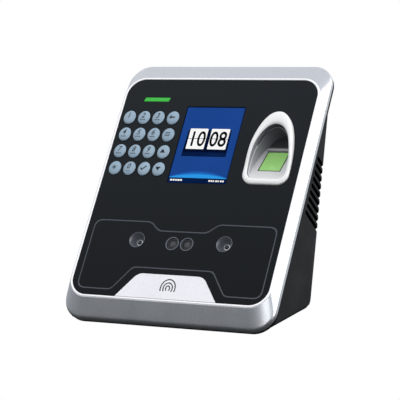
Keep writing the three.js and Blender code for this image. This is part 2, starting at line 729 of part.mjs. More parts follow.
function rearHousing() {
  const { inset } = FLANGE;
  const flangeShape = roundedRect(RIM.halfWidth - inset, RIM.halfHeight - inset, RIM.radius - inset);
  const flangeFront = RIM.back - GAP;
  const flange = onFace(prism(flangeShape, flangeFront - FLANGE.thickness, flangeFront));
  const outer = wedge(0, flangeFront, 3);
  const inner = wedge(HOUSING.wall, flangeFront + 8, 1);
  const shell = cut(join(outer, flange), inner);

  const bayFloor = HOUSING.back - BAY.depth;
  const { halfWidth, bottom, top, wall } = BAY;
  const [bayHalf, bayFront, bayBack] = [halfWidth + wall, bayFloor - wall, HOUSING.back - 0.5];
  const bayBox = block(-bayHalf, bayHalf, bayFront, bayBack, bottom - wall, top + wall);
  const bayHollow = block(-halfWidth, halfWidth, bayFloor, HOUSING.back + 2, bottom, top);
  const windows = CONNECTORS.map((c) => {
    const [w, h] = [c.halfWidth + GAP, c.halfHeight + GAP];
    return block(c.x - w, c.x + w, bayFront - 1, bayFloor + 1, SOCKETS.z - h, SOCKETS.z + h);
  });

  const towers = [];
  const wells = [];
  for (const x of [-CASE_SCREW.x, CASE_SCREW.x]) {
    for (const y of [-CASE_SCREW.y, CASE_SCREW.y]) {
      const tower = onFace(rod(4.6, -60, flangeFront).translate(x, y, 0));
      towers.push(common(tower, outer));
      wells.push(onFace(rod(CASE_SCREW.headRadius + GAP, -60, CASE_SCREW.seat).translate(x, y, 0)));
      const shankBore = rod(CASE_SCREW.shankRadius + GAP, CASE_SCREW.seat - 5, RIM.back);
      wells.push(onFace(shankBore.translate(x, y, 0)));
    }
  }

  const standoffs = [];
  const standoffBores = [];
  for (const { x, z } of BOARD_SCREWS) {
    standoffs.push(alongY(rod(3.2, BOARD.back + GAP, HOUSING.back - 1)).translate(x, 0, z));
    standoffBores.push(alongY(rod(1.5, BOARD.back - 1, BOARD.back + 9)).translate(x, 0, z));
  }

  const hookSlots = mirrored.map(([, side]) =>
    block(side * HOOK.x - 7.5, side * HOOK.x + 7.5, -8, 1, HOOK.z - 2, HOOK.z + HOOK.rise + 2));
  const lockTabSlot = block(-8, 8, -6, 1, LOCK.tabZ - 1.2, LOCK.tabZ + 2.8);
  const lockBoss = common(rod(5, -95, LOCK.tabZ - 0.6).translate(0, LOCK.y, 0), outer);
  const lockBore = rod(1.9, -100, LOCK.tabZ + 1).translate(0, LOCK.y, 0);
  const lockWell = rod(3.6, -100, -72).translate(0, LOCK.y, 0);
  const tamperHole = alongY(rod(TAMPER.radius + 0.8, -8, 1)).translate(TAMPER.x, 0, TAMPER.z);

  return cut(
    join(shell, common(bayBox, outer), ...towers, ...standoffs, lockBoss),
    bayHollow, ...windows, ...wells, ...standoffBores, ...hookSlots, lockTabSlot, lockBore, lockWell,
    tamperHole, ...ventCutters(),
  );
}

// ---------------------------------------------------------------- wall plate

function wallPlate() {
  const { halfWidth, halfHeight, radius, thickness } = PLATE;
  const outline = roundedRect(halfWidth, halfHeight, radius);
  for (const x of [-PLATE_HOLES.spacingX / 2, PLATE_HOLES.spacingX / 2]) {
    for (const z of [-PLATE_HOLES.spacingZ / 2, PLATE_HOLES.spacingZ / 2]) {
      outline.holes.push(ellipse(x, z, PLATE_HOLES.radius, PLATE_HOLES.radius));
    }
  }
  outline.holes.push(roundedRect(BAY.halfWidth - 6, 12, 3, 0, (BAY.top + BAY.bottom) / 2));
  outline.holes.push(ellipse(TAMPER.x, TAMPER.z, TAMPER.radius + 0.9, TAMPER.radius + 0.9));
  const sheet = prism(outline, 0, thickness, 5).applyMatrix4(standing);
  const hooks = mirrored.map(([, side]) => {
    const [x0, x1] = [side * HOOK.x - HOOK.width / 2, side * HOOK.x + HOOK.width / 2];
    const tongue = block(x0, x1, -thickness - HOOK.reach, -thickness / 2, HOOK.z, HOOK.z + thickness);
    const catchLip = block(x0, x1, -thickness - HOOK.reach, -HOOK.reach, HOOK.z, HOOK.z + HOOK.rise);
    return join(tongue, catchLip);
  });
  const tab = block(-6, 6, -LOCK.tabLength, -thickness / 2, LOCK.tabZ, LOCK.tabZ + thickness);
  const tabBore = rod(1.75, LOCK.tabZ - 1, LOCK.tabZ + 3).translate(0, LOCK.y, 0);
  return cut(join(sheet, ...hooks, tab), tabBore);
}

// ---------------------------------------------------------------- electronics

function mainBoard() {
  const { halfWidth, bottom, top, notchX, notchZ, front, back } = BOARD;
  const outline = new THREE.Shape([
    point(-halfWidth, bottom),
    point(halfWidth, bottom),
    point(halfWidth, notchZ),
    point(notchX, notchZ),
    point(notchX, top),
    point(-halfWidth, top),
  ]);
  for (const { x, z } of BOARD_SCREWS) outline.holes.push(ellipse(x, z, 1.8, 1.8));
  return prism(outline, 0, back - front, 4).applyMatrix4(standing).translate(0, back, 0);
}

// A block of screw terminals: wires go in from the wall side, and the screws are on top.
function terminals(halfWidth, poles) {
  const front = BOARD.back + GAP;
  const body = block(-halfWidth, halfWidth, front, SOCKETS.back, -5, 5);
  const pitch = (2 * halfWidth - 0.8) / poles;
  const tools = [];
  for (let i = 0; i < poles; i++) {
    const x = (i - (poles - 1) / 2) * pitch;
    tools.push(block(x - pitch * 0.33, x + pitch * 0.33, SOCKETS.back - 6, SOCKETS.back + 1, -3.6, 0));
    tools.push(rod(pitch * 0.32, 4, 6, 10).translate(x, SOCKETS.back - 4, 0));
  }
  return cut(body, ...tools);
}

function networkSocket() {
  const front = BOARD.back + GAP;
  const shell = block(-8, 8, front, SOCKETS.back + 2, -6.8, 6.8);
  const mouth = block(-5.9, 5.9, SOCKETS.back - 9, SOCKETS.back + 3, -4.6, 3.6);
  const latch = block(-3, 3, SOCKETS.back - 9, SOCKETS.back + 3, -6, -4);
  return cut(shell, mouth, latch);
}

function usbSocket() {
  const front = BOARD.back + GAP;
  const shell = block(-3.1, 3.1, front, SOCKETS.back, -6.8, 6.8);
  const mouth = block(-2.5, 2.5, SOCKETS.back - 9, SOCKETS.back + 1, -6.2, 6.2);
  const tongue = block(0.2, 2.0, SOCKETS.back - 9.5, SOCKETS.back - 0.8, -5.4, 5.4);
  return join(cut(shell, mouth), tongue);
}

function speaker() {
  const { radius } = SPEAKER;
  return turned([
    [0, 0],
    [radius * 0.62, 0],
    [radius * 0.62, 1.6],
    [radius, 3.2],
    [radius, 5.2],
    [radius - 1.5, 5.2],
    [radius - 3.5, 4.2],
    [radius * 0.27, 3.2],
    [0, 4.2],
  ], 24).rotateY(Math.PI / 2);
}

function backupCell() {
  const { radius, capRadius, height } = CELL;
  return alongY(turned([
    [0, 0],
    [radius, 0],
    [radius, height * 0.6],
    [capRadius, height * 0.7],
    [capRadius, height],
    [0, height],
  ], 24));
}

function addElectronics() {
  const front = BOARD.back + GAP;
  add(terminal, 'main_board', mainBoard(), FINISH.circuit);
  const { half, height } = PROCESSOR;
  const processor = block(-half, half, -GAP - height, -GAP, -half, half);
  add(terminal, 'processor', processor, FINISH.steel).position.set(PROCESSOR.x, BOARD.front, PROCESSOR.z);
  add(terminal, 'backup_cell', backupCell(), FINISH.steel).position.set(CELL.x, front, CELL.z);
  const { halfWidth, halfHeight, depth } = RELAY;
  const relay = block(-halfWidth, halfWidth, 0, depth, -halfHeight, halfHeight);
  add(terminal, 'lock_relay', relay, FINISH.plastic).position.set(RELAY.x, front, RELAY.z);
  const sockets = {
    power_terminals: [terminals(5.4, 2), FINISH.terminal],
    relay_terminals: [terminals(12.9, 5), FINISH.terminal],
    reader_terminals: [terminals(9.9, 5), FINISH.terminal],
    network_socket: [networkSocket(), FINISH.steel],
    usb_socket: [usbSocket(), FINISH.steel],
  };
  for (const { name, x } of CONNECTORS) {
    add(terminal, name, sockets[name][0], sockets[name][1]).position.set(x, 0, SOCKETS.z);
  }
  add(terminal, 'speaker', speaker(), FINISH.plastic).position.set(SPEAKER.x, SPEAKER.y, SPEAKER.z);

  const bore = alongY(rod(TAMPER.radius + GAP, -14, -5)).translate(TAMPER.x, 0, TAMPER.z);
  const body = block(TAMPER.x - 3, TAMPER.x + 3, front, -8.5, TAMPER.z - 3, TAMPER.z + 3);
  add(terminal, 'tamper_switch', cut(body, bore), FINISH.plastic);
  const plunger = alongY(rod(TAMPER.radius, -12, 0)).translate(TAMPER.x, 0, TAMPER.z);
  add(terminal, 'tamper_plunger', plunger, FINISH.brightSilver);
}

// ---------------------------------------------------------------- fasteners

// A pan-head screw that points along +z, its head's seat at z = 0, with a cross recess.
function screw(headRadius, shankRadius, length) {
  const shaft = turned([
    [0, -2],
    [headRadius * 0.75, -2],
    [headRadius, -1.2],
    [headRadius, 0],
    [shankRadius, 0],
    [shankRadius, length - 1],
    [0, length],
  ], 14);
  const slot = block(-headRadius * 0.55, headRadius * 0.55, -0.35, 0.35, -3, -1.1);
  return cut(shaft, slot, slot.clone().rotateZ(Math.PI / 2));
}

function addFasteners() {
  const corners = [
    ['top_left', -1, 1],
    ['top_right', 1, 1],
    ['bottom_left', -1, -1],
    ['bottom_right', 1, -1],
  ];
  for (const [label, sideX, sideY] of corners) {
    const { headRadius, shankRadius, length, x, y, seat } = CASE_SCREW;
    const piece = screw(headRadius, shankRadius, length).translate(sideX * x, sideY * y, seat - GAP / 2);
    add(face, `case_screw_${label}`, piece, FINISH.steel);
  }
  BOARD_SCREWS.forEach(({ x, z }, i) => {
    const piece = alongY(screw(2.6, 1.2, 8)).translate(x, BOARD.front - GAP, z);
    add(terminal, `board_screw_${i + 1}`, piece, FINISH.steel);
  });
  const lock = screw(3, 1.45, 13).translate(0, LOCK.y, -72 - GAP);
  add(terminal, 'lock_screw', lock, FINISH.steel);
}

// ---------------------------------------------------------------- the whole terminal

add(face, 'front_bezel', frontBezel(), FINISH.silver);
add(face, 'face_panel', facePanel(), FINISH.glossBlack);
add(face, 'badge_plate', badgePlate(), FINISH.brightSilver);
addFaceControls();
add(face, 'sensor_bezel', sensorBezel(), FINISH.brightSilver);
add(face, 'finger_tray', fingerTray(), FINISH.silver);
add(face, 'sensor_window', sensorWindow(), FINISH.green);
add(face, 'sensor_module', sensorModule(), FINISH.plastic);
addSensorZone();
add(terminal, 'rear_housing', rearHousing(), FINISH.satinBlack);
add(terminal, 'wall_plate', wallPlate(), FINISH.steel);
addElectronics();
addFasteners();

export default terminal;
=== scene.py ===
import math

import bmesh
import bpy
from mathutils import Matrix, Vector


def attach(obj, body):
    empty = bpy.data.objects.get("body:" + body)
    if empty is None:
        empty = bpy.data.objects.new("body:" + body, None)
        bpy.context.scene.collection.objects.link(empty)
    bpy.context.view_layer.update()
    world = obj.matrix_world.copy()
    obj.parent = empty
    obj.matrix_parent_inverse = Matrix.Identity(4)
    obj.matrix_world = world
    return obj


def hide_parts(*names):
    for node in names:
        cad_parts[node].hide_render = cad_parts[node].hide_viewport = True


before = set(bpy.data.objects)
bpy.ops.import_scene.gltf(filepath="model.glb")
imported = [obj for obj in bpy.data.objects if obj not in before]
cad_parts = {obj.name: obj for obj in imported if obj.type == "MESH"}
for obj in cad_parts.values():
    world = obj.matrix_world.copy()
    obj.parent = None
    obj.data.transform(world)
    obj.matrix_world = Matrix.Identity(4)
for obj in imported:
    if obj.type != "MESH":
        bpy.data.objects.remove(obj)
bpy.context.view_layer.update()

# The front face leans back. Pieces on it are drawn in millimetres: x right, y up the slope, z out of the
# glossy panel. FACE puts them in the terminal's own frame, in metres.
LEAN = math.radians(18.9)
FACE_CENTRE = (0, -0.0567, -0.010)
FACE = (
    Matrix.Translation(FACE_CENTRE)
    @ Matrix.Rotation(math.pi / 2 - LEAN, 4, "X")
    @ Matrix.Scale(0.001, 4)
)

# The photograph's viewpoint in metres, and its directions ahead and to the right. AIM is the point that the
# lamps shine at.
VIEW_FROM = (0.57383, -1.1448, -0.1625)
VIEW_AHEAD = (-0.4600, 0.8800, 0.1160)
VIEW_RIGHT = (0.8872, 0.4505, 0.0995)
AIM = (0, -0.05, 0)

GAP = 0.3
ROUND_STEPS = 56
PANEL_W, PANEL_H, PANEL_R, PANEL_T = 75.75, 86.3, 13, 2.5
RIM_W, RIM_H, RIM_R, RIM_FRONT, RIM_BACK = 81.1, 102, 16, -6.3, -9.8
KEY_PITCH_X, KEY_PITCH_Y, KEY_X, KEY_Y, KEY_W, KEY_H = 11.87, 13.89, -68.1, 54.6, 9.8, 11
KEY_ROWS = [
    ["key_1", "key_2", "key_3", "key_escape"],
    ["key_4", "key_5", "key_6", "key_menu"],
    ["key_7", "key_8", "key_9", "key_up"],
    ["key_star", "key_0", "key_enter", "key_down"],
]
SCREEN_Y, SCREEN_W, SCREEN_H = 33.6, 45.2, 60.4
LAMP_X, LAMP_Y, LAMP_R, LAMP_DEPTH = 34, -42.7, 6.2, 5.4
CAMERA_X, CAMERA_Y, RING_R, LENS_R = 5.65, -44.4, 5.05, 4.1
LENS_GLASS_R = 2.7
BOARD_TOP = -9.5
GROOVE_DEPTH, GROOVE_HALF = 0.36, 0.45
ARCH_X = 51.7
ARCH_OUTER = dict(half=17.5, bottom=3.8, corner=8, side=17.9, shoulder=34, crown=12.5, top=59.6)
ARCH_INNER = dict(half=14.6, bottom=7.9, corner=6, side=16, shoulder=32, crown=10, top=49.8)
HOOD_HEIGHT, HOOD_FROM, HOOD_TO = 3, 14, 36
WINDOW_Y, WINDOW_Z, WINDOW_TILT = 25.55, -7.3, math.radians(23)
WINDOW_W, WINDOW_H, WINDOW_T, WINDOW_EDGE = 8.4, 10.45, 2.2, 0.5
ZONE = [
    (-71, -81.2), (-43.8, -81.2), (-31, -63.5), (31, -63.5), (43.8, -81.2), (71, -81.2),
    (71, -28.4), (26.5, -28.4), (18.8, -35.1), (-18.8, -35.1), (-26.5, -28.4), (-71, -28.4),
]
ZONE_ROUND = [6.5, 3.4, 3.4, 3.4, 3.4, 6.5, 6.5, 3.4, 3.4, 3.4, 3.4, 6.5]
MARK_X, MARK_Y, MARK_WIDTH = 0.5, -78.2, 0.84
BADGE = [(-39, -86.3), (39, -86.3), (25.3, -68.1), (-25.3, -68.1)]


def linear(*channels):
    """Screen colour, 0 to 255, to the linear colour that a shader socket takes."""
    out = []
    for c in channels:
        c /= 255
        out.append(c / 12.92 if c <= 0.04045 else ((c + 0.055) / 1.055) ** 2.4)
    return out


# ---------------------------------------------------------------- materials


def surface(name, color, rough, metal=0.0, grain=900, bump=0.1, wear=60, tint=None, coat=0.0,
            glow=0.0, stretch=(1, 1, 1), flecks=0.0, specular=0.5, painted_light_by_height=None):
    """A finish whose roughness and colour vary with wear, and whose surface has a fine grain.

    rough is the roughness where it is least and most worn. tint is a second colour, mixed in by the wear, or
    by the grain where flecks is set. painted_light_by_height is two heights in metres and the colours from
    one to the other: painted light and painted shade laid into the base colour by height.
    """
    made = bpy.data.materials.new(name)
    made.use_nodes = True
    tree = made.node_tree
    shader = tree.nodes["Principled BSDF"]
    shader.inputs["Base Color"].default_value = (*color, 1)
    shader.inputs["Metallic"].default_value = metal
    shader.inputs["Coat Weight"].default_value = coat
    shader.inputs["Coat Roughness"].default_value = 0.06
    shader.inputs["Specular IOR Level"].default_value = specular
    where = tree.nodes.new("ShaderNodeTexCoord")
    mapping = tree.nodes.new("ShaderNodeMapping")
    mapping.inputs["Scale"].default_value = stretch
    tree.links.new(where.outputs["Object"], mapping.inputs["Vector"])

    def noise(scale, detail):
        node = tree.nodes.new("ShaderNodeTexNoise")
        node.inputs["Scale"].default_value = scale
        node.inputs["Detail"].default_value = detail
        tree.links.new(mapping.outputs["Vector"], node.inputs["Vector"])
        return node

    smudges = noise(wear, 5)
    spread = tree.nodes.new("ShaderNodeMapRange")
    spread.inputs["From Min"].default_value = 0.3
    spread.inputs["From Max"].default_value = 0.7
    spread.inputs["To Min"].default_value = rough[0]
    spread.inputs["To Max"].default_value = rough[1]
    tree.links.new(smudges.outputs["Fac"], spread.inputs["Value"])
    tree.links.new(spread.outputs["Result"], shader.inputs["Roughness"])

    # Painted light and shade: the base colour runs from one colour to another with height, lighter where
    # light falls and darker where shade falls.
    if painted_light_by_height is not None:
        split = tree.nodes.new("ShaderNodeSeparateXYZ")
        tree.links.new(where.outputs["Object"], split.inputs["Vector"])
        level = tree.nodes.new("ShaderNodeMapRange")
        level.inputs["From Min"].default_value = painted_light_by_height[0]
        level.inputs["From Max"].default_value = painted_light_by_height[1]
        tree.links.new(split.outputs["Z"], level.inputs["Value"])
        heights = tree.nodes.new("ShaderNodeValToRGB")
        tree.links.new(level.outputs["Result"], heights.inputs["Fac"])
        stops = heights.color_ramp.elements
        while len(stops) < len(painted_light_by_height[2]):
            stops.new(0.5)
        for stop, (position, shade) in zip(stops, painted_light_by_height[2]):
            stop.position = position
            stop.color = (*shade, 1)
        tree.links.new(heights.outputs["Color"], shader.inputs["Base Color"])
    if tint is not None:
        ramp = tree.nodes.new("ShaderNodeValToRGB")
        ramp.color_ramp.elements[0].position = 0.38
        ramp.color_ramp.elements[0].color = (*color, 1)
        ramp.color_ramp.elements[1].position = 0.66
        ramp.color_ramp.elements[1].color = (*tint, 1)
        source = noise(grain * flecks, 2) if flecks else smudges
        tree.links.new(source.outputs["Fac"], ramp.inputs["Fac"])
        tree.links.new(ramp.outputs["Color"], shader.inputs["Base Color"])
        if glow:
            tree.links.new(ramp.outputs["Color"], shader.inputs["Emission Color"])
    if glow:
        shader.inputs["Emission Color"].default_value = (*color, 1)
        shader.inputs["Emission Strength"].default_value = glow

    relief = tree.nodes.new("ShaderNodeBump")
    relief.inputs["Strength"].default_value = bump
    relief.inputs["Distance"].default_value = 0.0002
    tree.links.new(noise(grain, 3).outputs["Fac"], relief.inputs["Height"])
    tree.links.new(relief.outputs["Normal"], shader.inputs["Normal"])
    return made


SILVER = surface("silver_paint", linear(208, 211, 216), (0.30, 0.36), 0.92, 1500, 0.22,
                 tint=linear(222, 225, 229), flecks=1.0)
# Painted highlight: the bezel's inner lip is a brighter copy of the silver that glows a little, though it is
# no lamp.
LIP_PAINTED_HIGHLIGHT = surface("lip_silver_painted_highlight", linear(250, 250, 252), (0.34, 0.42), 0.1, 1400, 0.08, glow=0.22)
# Painted light and shade by height: the tray is pale low down where light falls, a painted shadow darkens it
# higher up under the hood, and a lighter band lies inside that shadow.
TRAY = surface("sensor_silver", linear(228, 228, 227), (0.40, 0.50), 0.2, 1400, 0.08,
               painted_light_by_height=(-0.005, 0.045, [(0.0, linear(236, 236, 235)), (0.53, linear(222, 222, 221)),
                                     (0.57, linear(74, 76, 78)), (0.70, linear(58, 60, 62)),
                                     (0.80, linear(118, 120, 122)), (1.0, linear(70, 72, 74))]))
# Painted shade: the recess walls run from pale at the bottom to dark at the top, under the hood.
TRAY_WALL = surface("sensor_wall", linear(140, 142, 144), (0.46, 0.56), 0.05, 1400, 0.08, specular=0.15,
                    painted_light_by_height=(-0.006, 0.045, [(0.0, linear(212, 211, 219)), (0.25, linear(192, 190, 199)),
                                          (0.50, linear(158, 156, 166)), (0.75, linear(108, 107, 115)),
                                          (1.0, linear(66, 66, 71))]))
# Painted highlight: the sensor ring's silver glows a little to look brighter, though it is no lamp.
RING_SILVER = surface("ring_silver", linear(253, 253, 252), (0.36, 0.46), 0.05, 1400, 0.08, glow=0.07,
                      specular=0.3)
BADGE_SILVER = surface("badge_silver", linear(249, 248, 252), (0.34, 0.44), 0.35, 1800, 0.10,
                       tint=linear(243, 242, 247), flecks=0.5)
# Painted shade: the panel's black is painted darker towards the bottom and lighter towards the top.
GLOSS = surface("gloss_black", linear(14, 18, 21), (0.12, 0.18), 0, 300, 0.006, wear=25, specular=0.10,
                painted_light_by_height=(-0.09, 0.07, [(0.0, linear(5, 12, 18)), (1.0, linear(25, 31, 36))]))
GROOVE = surface("groove_floor", linear(66, 73, 84), (0.4, 0.5), 0, 900, 0.1)
HOUSING = surface("housing_black", linear(13, 15, 18), (0.46, 0.58), 0, 2200, 0.30, wear=40,
                  tint=linear(10, 12, 14), specular=0.12)
KEY_BLUE = surface("key_blue", linear(154, 180, 200), (0.22, 0.32), 0, 1200, 0.05,
                   tint=linear(163, 188, 206), coat=0.2)
# The keys' legend print; the same dark also covers each key's side wall, where it is painted shade round the
# key's edge.
KEY_INK_AND_PAINTED_SHADE = surface("key_ink_and_painted_shade", linear(26, 32, 40), (0.4, 0.5), 0, 1500, 0.05, specular=0.2)
BADGE_INK = surface("badge_ink", linear(48, 52, 54), (0.4, 0.5), 0, 1500, 0.05, specular=0.15)
RUBBER = surface("rubber_grey", linear(111, 115, 119), (0.7, 0.85), 0, 1500, 0.3)
STATUS = surface("status_green", linear(62, 186, 66), (0.25, 0.35), 0, 700, 0.03, glow=0.22, specular=0.2)
GREEN = surface("sensor_green", linear(150, 204, 118), (0.2, 0.3), 0, 500, 0.02,
                tint=linear(156, 209, 124), glow=0.22, coat=0.2, specular=0.3)
GREEN_EDGE = surface("sensor_outline", linear(60, 74, 58), (0.3, 0.4), 0, 700, 0.05)
REFLECTOR = surface("lamp_grey", linear(98, 103, 110), (0.22, 0.32), 0.1, 900, 0.06)
# Painted highlight: a bright ring round the LED's foot stands in for the glint of light in the lamp's bowl.
LAMP_HIGHLIGHT_RING = surface("lamp_highlight_ring", linear(190, 194, 198), (0.25, 0.35), 0.5, 900, 0.05)
LED = surface("lamp_dark", linear(20, 21, 24), (0.08, 0.14), 0, 500, 0.02, coat=0.5)
RING = surface("ring_grey", linear(104, 110, 122), (0.35, 0.45), 0.2, 900, 0.06)
IRIS = surface("lens_inner", linear(70, 73, 76), (0.3, 0.4), 0.0, 900, 0.05, specular=0.3)
BARREL = surface("lens_barrel", linear(10, 11, 13), (0.4, 0.5), 0, 900, 0.08)
STEEL = surface("metal_steel", linear(176, 179, 183), (0.28, 0.40), 1.0, 900, 0.04, wear=90,
                tint=linear(168, 171, 175), stretch=(0.06, 1, 5))
SCREW = surface("screw_steel", linear(190, 192, 195), (0.2, 0.34), 1.0, 1800, 0.08, wear=300)
BOARD = surface("circuit_green", linear(31, 107, 58), (0.35, 0.5), 0, 400, 0.14, wear=220,
                tint=linear(24, 86, 46), coat=0.3)
TERMINAL = surface("terminal_green", linear(47, 143, 78), (0.4, 0.5), 0, 900, 0.08)
PLASTIC = surface("inner_plastic", linear(34, 36, 39), (0.42, 0.55), 0, 1400, 0.15)
CONE = surface("speaker_cone", linear(12, 13, 15), (0.7, 0.85), 0, 1400, 0.25, specular=0.05)
WHITE = surface("plunger_white", linear(226, 226, 228), (0.35, 0.45), 0, 900, 0.06)


def lit(name, color, glow, specular=0.0, **more):
    """A colour of the picture that the screen shows."""
    return surface(name, color, (0.14, 0.2), 0, 300, 0.01, glow=glow, specular=specular, **more)


SCREEN_BLUE = lit("screen_blue", linear(26, 66, 136), 0.27, tint=linear(29, 68, 139))
SCREEN_NAVY = lit("screen_navy", linear(6, 24, 60), 0.2, tint=linear(9, 32, 74))
SCREEN_SHADE = lit("screen_shade", linear(4, 16, 48), 0.1)
SCREEN_CYAN = lit("screen_cyan", linear(33, 140, 214), 0.35, 0.06)
SCREEN_SKY = lit("screen_sky", linear(30, 84, 160), 0.3)
SCREEN_AZURE = lit("screen_azure", linear(32, 108, 186), 0.32)
SCREEN_WHITE = surface("screen_white", linear(236, 234, 232), (0.2, 0.3), 0, 300, 0.01, glow=0.35,
                       specular=0.2)
SCREEN_INK = surface("screen_ink", linear(5, 5, 7), (0.4, 0.5), 0, 300, 0.01, specular=0.0)

# ---------------------------------------------------------------- shapes, as (points, faces)


def joined(*shapes):
    points, faces = [], []
    for more_points, more_faces in shapes:
        start = len(points)
        points += more_points
        faces += [[i + start for i in f] for f in more_faces]
    return points, faces


def placed(shape, x=0.0, y=0.0, z=0.0, matrix=None):
    matrix = matrix or Matrix.Translation((x, y, z))
    return [matrix @ Vector(p) for p in shape[0]], shape[1]


def skinned(loops, around=False):
    """A skin through loops of equal length; around joins the last loop to the first."""
    count = len(loops[0])
    faces = []
    for step in range(len(loops) if around else len(loops) - 1):
        here, there = step * count, (step + 1) % len(loops) * count
        for i in range(count):
            j = (i + 1) % count
            faces.append([here + i, here + j, there + j, there + i])
    return [p for loop in loops for p in loop], faces


def turned(profile, x=0.0, y=0.0, stretch=1.0, count=ROUND_STEPS, around=False):
    loops = []
    for radius, height in profile:
        loops.append([
            (x + radius * math.cos(2 * math.pi * i / count),
             y + radius * stretch * math.sin(2 * math.pi * i / count), height)
            for i in range(count)
        ])
    return skinned(loops, around)


def rounded(half_w, half_h, radius, x=0.0, y=0.0, steps=14):
    loop = []
    for corner, (sx, sy) in enumerate([(1, 1), (-1, 1), (-1, -1), (1, -1)]):
        for i in range(steps + 1):
            a = (corner + i / steps) * math.pi / 2
            loop.append((x + sx * (half_w - radius) + radius * math.cos(a),
                         y + sy * (half_h - radius) + radius * math.sin(a)))
    return loop


def oval(x, y, rx, ry, count=ROUND_STEPS):
    return [(x + rx * math.cos(2 * math.pi * i / count), y + ry * math.sin(2 * math.pi * i / count))
            for i in range(count)]


def at_height(loop, z):
    return [(p[0], p[1], z) for p in loop]


def band(x, y, rx, ry, width, start, end, steps):
    """The outer and the inner edge of an arc that runs from one angle to another, in degrees."""
    outer, inner = [], []
    for k in range(steps + 1):
        a = math.radians(start + (end - start) * k / steps)
        outer.append((x + (rx + width / 2) * math.cos(a), y + (ry + width / 2) * math.sin(a)))
        inner.append((x + (rx - width / 2) * math.cos(a), y + (ry - width / 2) * math.sin(a)))
    return outer, inner


def grown(corners, distance):
    """The corners of a polygon that runs anticlockwise, each side moved out by the same distance."""
    out = []
    for i, corner in enumerate(corners):
        corner = Vector(corner)
        before = (corner - Vector(corners[i - 1])).normalized()
        after = (Vector(corners[(i + 1) % len(corners)]) - corner).normalized()
        miter = Vector((before.y, -before.x)) + Vector((after.y, -after.x))
        out.append(corner + miter * (2 * distance / miter.length_squared))
    return out


def softened(corners, reach, steps=7):
    """A polygon with rounded corners; reach is one length, or a list with one for each corner."""
    loop = []
    for i, corner in enumerate(corners):
        corner = Vector(corner)
        length = reach[i] if isinstance(reach, list) else reach
        start = corner + (Vector(corners[i - 1]) - corner).normalized() * length
        end = corner + (Vector(corners[(i + 1) % len(corners)]) - corner).normalized() * length
        for k in range(steps + 1):
            t = k / steps
            loop.append(tuple(start * (1 - t) ** 2 + corner * 2 * t * (1 - t) + end * t * t))
    return loop


def arch_line(arch, margin=0.0, steps=30):
    """The finger recess's outline: a flat bottom with round corners, and sides leaning in to a crown."""
    half, bottom, top = arch["half"] + margin, arch["bottom"] - margin, arch["top"] + margin
    corner = max(arch["corner"] + margin, 0.5)
    right = []
    for i in range(9):
        a = (i / 8 - 1) * math.pi / 2
        right.append((half - corner + corner * math.cos(a), bottom + corner + corner * math.sin(a)))
    points = [(half, bottom + corner), (arch["side"] + margin, arch["shoulder"]),
              (arch["crown"] + margin, top), (0, top)]
    for i in range(1, steps):
        t = i / steps
        w = [(1 - t) ** 3, 3 * t * (1 - t) ** 2, 3 * t * t * (1 - t), t ** 3]
        right.append(tuple(sum(w[k] * points[k][d] for k in range(4)) for d in (0, 1)))
    whole = [*right, (0, top), *[(-x, y) for x, y in reversed(right)]]
    return [(x + ARCH_X, y) for x, y in whole]


def curve_shape(curve):
    """The mesh of a filled curve or a text, as points and faces."""
    holder = bpy.data.objects.new("outline", curve)
    bpy.context.scene.collection.objects.link(holder)
    bpy.context.view_layer.update()
    mesh = bpy.data.meshes.new_from_object(holder.evaluated_get(bpy.context.evaluated_depsgraph_get()))
    shape = [tuple(v.co) for v in mesh.vertices], [list(p.vertices) for p in mesh.polygons]
    bpy.data.objects.remove(holder)
    bpy.data.curves.remove(curve)
    bpy.data.meshes.remove(mesh)
    return shape


def plate(outline, holes, low, high, bevel=0.0):
    """A flat plate with holes, its edges rounded off by bevel."""
    curve = bpy.data.curves.new("outline", "CURVE")
    curve.dimensions = "2D"
    curve.fill_mode = "BOTH"
    for loop in [outline, *holes]:
        spline = curve.splines.new("POLY")
        spline.points.add(len(loop) - 1)
        for point, xy in zip(spline.points, loop):
            point.co = (xy[0], xy[1], 0, 1)
        spline.use_cyclic_u = True
    curve.extrude = (high - low) / 2 - bevel
    curve.bevel_depth = bevel
    curve.bevel_resolution = 2
    curve.offset = -bevel
    return placed(curve_shape(curve), z=(low + high) / 2)


def writing(text, size, x, y, wide=1.0, slant=0.0, bold=0.0):
    """Numerals as a flat shape centred on x, y."""
    curve = bpy.data.curves.new("numerals", "FONT")
    curve.offset = bold
    curve.body = text
    curve.size = size
    curve.shear = slant
    curve.align_x = "CENTER"
    curve.align_y = "CENTER"
    curve.resolution_u = 6
    points, faces = curve_shape(curve)
    return [(x + p[0] * wide, y + p[1], 0) for p in points], faces


def polygon(points):
    return at_height(points, 0), [list(range(len(points)))]


# ---------------------------------------------------------------- pieces


def finished(name, mesh, material, body, stands_for, smooth, weighted):
    made = bmesh.new()
    made.from_mesh(mesh)
    bmesh.ops.remove_doubles(made, verts=made.verts, dist=2e-7)
    bmesh.ops.recalc_face_normals(made, faces=made.faces)
    for face in made.faces:
        face.smooth = True
    for edge in made.edges:
        edge.smooth = len(edge.link_faces) != 2 or edge.calc_face_angle(0) < math.radians(smooth)
    made.to_mesh(mesh)
    made.free()
    thing = bpy.data.objects.new(name, mesh)
    bpy.context.scene.collection.objects.link(thing)
    mesh.materials.append(material)
    if weighted:
        even = thing.modifiers.new("even_normals", "WEIGHTED_NORMAL")
        even.keep_sharp = True
        even.weight = 100
    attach(thing, body)
    if stands_for:
        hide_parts(*stands_for)
    return thing


def piece(name, shape, material, stands_for=(), body="terminal", place=FACE, smooth=32,
          weighted=True):
    mesh = bpy.data.meshes.new(name)
    mesh.from_pydata([tuple(p) for p in shape[0]], [], shape[1])
    mesh.transform(place)
    return finished(name, mesh, material, body, stands_for, smooth, weighted)


